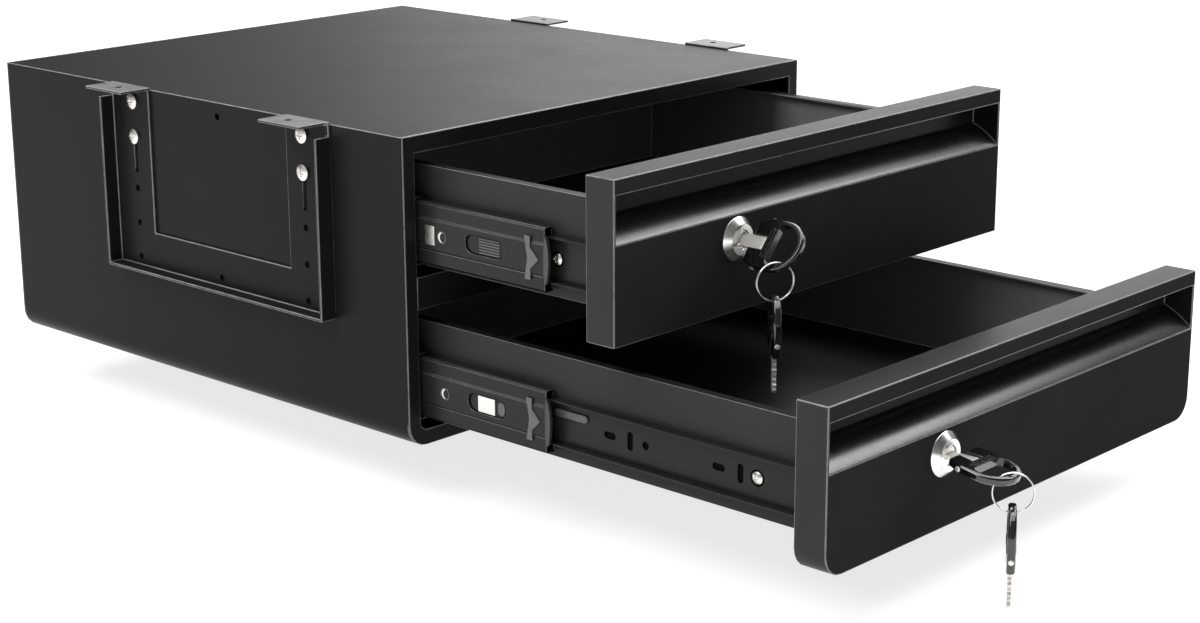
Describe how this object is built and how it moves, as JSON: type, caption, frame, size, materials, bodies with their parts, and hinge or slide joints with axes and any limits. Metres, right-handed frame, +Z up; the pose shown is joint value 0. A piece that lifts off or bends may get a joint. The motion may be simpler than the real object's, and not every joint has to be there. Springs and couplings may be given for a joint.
{
  "type": "under desk drawer cabinet",
  "caption": "Black steel drawer cabinet that hangs under a desk from side brackets, with separately locked drawers on ball-bearing slides and folding keys.",
  "frame": {"origin": "in the plane of the desk's underside, midway between the four fixing tabs of the brackets", "axes": "+Z up, out of the desk's underside plane; +Y towards the cabinet's rear, along its longest extent; +X to the right seen from the front"},
  "size_m": [0.45, 0.8323, 0.2428],
  "materials": {
    "powder_coat": "satin black powder coat with a faint fine texture",
    "slide_steel": "smooth black coated rolled steel",
    "cast_metal": "grey die casting",
    "nickel_plate": "bright nickel plate",
    "chrome_plate": "polished chrome plate",
    "key_plastic": "glossy black moulding",
    "bumper_plastic": "dark grey moulding"
  },
  "bodies": {
    "cabinet": {"cabinet_shell": "powder_coat", "cabinet_top": "powder_coat", "cabinet_back": "powder_coat", "front_frame": "powder_coat", "divider_rail": "powder_coat", "left_slide_carrier": "powder_coat", "right_slide_carrier": "powder_coat", "left_desk_bracket": "powder_coat", "right_desk_bracket": "powder_coat", "left_front_upper_bolt": "nickel_plate", "left_front_lower_bolt": "nickel_plate", "left_rear_upper_bolt": "nickel_plate", "left_rear_lower_bolt": "nickel_plate", "right_front_upper_bolt": "nickel_plate", "right_front_lower_bolt": "nickel_plate", "right_rear_upper_bolt": "nickel_plate", "right_rear_lower_bolt": "nickel_plate", "lower_left_outer_rail": "slide_steel", "lower_right_outer_rail": "slide_steel", "upper_left_outer_rail": "slide_steel", "upper_right_outer_rail": "slide_steel"},
    "lower_middle_rails": {"lower_left_middle_rail": "slide_steel", "lower_left_slide_latch": "cast_metal", "lower_left_slide_bumper": "bumper_plastic", "lower_right_middle_rail": "slide_steel", "lower_right_slide_latch": "cast_metal", "lower_right_slide_bumper": "bumper_plastic"},
    "upper_middle_rails": {"upper_left_middle_rail": "slide_steel", "upper_left_slide_latch": "cast_metal", "upper_left_slide_bumper": "bumper_plastic", "upper_right_middle_rail": "slide_steel", "upper_right_slide_latch": "cast_metal", "upper_right_slide_bumper": "bumper_plastic"},
    "lower_drawer": {"lower_drawer_front": "powder_coat", "lower_drawer_tray": "powder_coat", "lower_left_drawer_rail": "slide_steel", "lower_right_drawer_rail": "slide_steel", "lower_lock_housing": "chrome_plate", "lower_lock_nut": "nickel_plate"},
    "upper_drawer": {"upper_drawer_front": "powder_coat", "upper_drawer_tray": "powder_coat", "upper_left_drawer_rail": "slide_steel", "upper_right_drawer_rail": "slide_steel", "upper_lock_housing": "chrome_plate", "upper_lock_nut": "nickel_plate"},
    "lower_lock": {"lower_lock_plug": "nickel_plate", "lower_lock_cam": "nickel_plate"},
    "upper_lock": {"upper_lock_plug": "nickel_plate", "upper_lock_cam": "nickel_plate"},
    "lower_key": {"lower_key_blade": "nickel_plate"},
    "upper_key": {"upper_key_blade": "nickel_plate"},
    "lower_head": {"lower_key_head": "key_plastic"},
    "upper_head": {"upper_key_head": "key_plastic"},
    "lower_ring": {"lower_key_ring": "nickel_plate"},
    "upper_ring": {"upper_key_ring": "nickel_plate"},
    "lower_spare_head": {"lower_spare_key_head": "key_plastic"},
    "upper_spare_head": {"upper_spare_key_head": "key_plastic"},
    "lower_spare_blade": {"lower_spare_key_blade": "nickel_plate"},
    "upper_spare_blade": {"upper_spare_key_blade": "nickel_plate"}
  },
  "joints": [
    {"name": "lower_drawer_slide", "type": "slide", "parent": "cabinet", "child": "lower_drawer", "axis": [0, -1, 0], "range_m": [-0.3147, 0.062]},
    {"name": "upper_drawer_slide", "type": "slide", "parent": "cabinet", "child": "upper_drawer", "axis": [0, -1, 0], "range_m": [-0.1567, 0.08]},
    {"name": "lower_middle_rail_slide", "type": "slide", "parent": "cabinet", "child": "lower_middle_rails", "axis": [0, -1, 0], "range_m": [-0.142, 0.028]},
    {"name": "upper_middle_rail_slide", "type": "slide", "parent": "cabinet", "child": "upper_middle_rails", "axis": [0, -1, 0], "range_m": [-0.118, 0.061]},
    {"name": "lower_lock_turn", "type": "hinge", "parent": "lower_drawer", "child": "lower_lock", "pos_m": [-0.088, -0.52285, -0.1607], "axis": [0, 1, 0], "range_deg": [0, 90]},
    {"name": "upper_lock_turn", "type": "hinge", "parent": "upper_drawer", "child": "upper_lock", "pos_m": [-0.088, -0.36485, -0.0573], "axis": [0, 1, 0], "range_deg": [-41, 49]},
    {"name": "lower_key_withdrawal", "type": "slide", "parent": "lower_lock", "child": "lower_key", "axis": [0, -1, 0], "range_m": [0, 0.02]},
    {"name": "upper_key_withdrawal", "type": "slide", "parent": "upper_lock", "child": "upper_key", "axis": [0, -1, 0], "range_m": [0, 0.02]},
    {"name": "lower_key_fold", "type": "hinge", "parent": "lower_key", "child": "lower_head", "pos_m": [-0.088, -0.54435, -0.1607], "axis": [-1, 0, 0], "range_deg": [0, 100]},
    {"name": "upper_key_fold", "type": "hinge", "parent": "upper_key", "child": "upper_head", "pos_m": [-0.088, -0.38635, -0.0573], "axis": [-0.6561, 0, -0.7547], "range_deg": [0, 90]},
    {"name": "lower_ring_turn", "type": "hinge", "parent": "lower_head", "child": "lower_ring", "pos_m": [-0.088, -0.57124, -0.1607], "axis": [0, 1, 0], "range_deg": [-90, 0]},
    {"name": "upper_ring_turn", "type": "hinge", "parent": "upper_head", "child": "upper_ring", "pos_m": [-0.09774, -0.40325, -0.0685], "axis": [0, 1, 0], "range_deg": [-49, 41]},
    {"name": "lower_spare_swing", "type": "hinge", "parent": "lower_ring", "child": "lower_spare_head", "pos_m": [-0.088, -0.57124, -0.18522], "axis": [0.5592, -0.829, 0], "range_deg": [-30, 30]},
    {"name": "upper_spare_swing", "type": "hinge", "parent": "upper_ring", "child": "upper_spare_head", "pos_m": [-0.09774, -0.40325, -0.08828], "axis": [0.866, -0.5, 0], "range_deg": [-30, 30]},
    {"name": "lower_spare_fold", "type": "hinge", "parent": "lower_spare_head", "child": "lower_spare_blade", "pos_m": [-0.088, -0.57124, -0.20933], "axis": [-0.829, -0.5592, 0], "range_deg": [0, 90]},
    {"name": "upper_spare_fold", "type": "hinge", "parent": "upper_spare_head", "child": "upper_spare_blade", "pos_m": [-0.09774, -0.40325, -0.11238], "axis": [-0.7071, -0.7071, 0], "range_deg": [0, 90]}
  ],
  "couplings": [
    {"joint": "lower_middle_rail_slide", "follows": "lower_drawer_slide", "ratio": 0.45},
    {"joint": "upper_middle_rail_slide", "follows": "upper_drawer_slide", "ratio": 0.75},
    {"joint": "lower_ring_turn", "follows": "lower_lock_turn", "ratio": -1},
    {"joint": "upper_ring_turn", "follows": "upper_lock_turn", "ratio": -1}
  ]
}
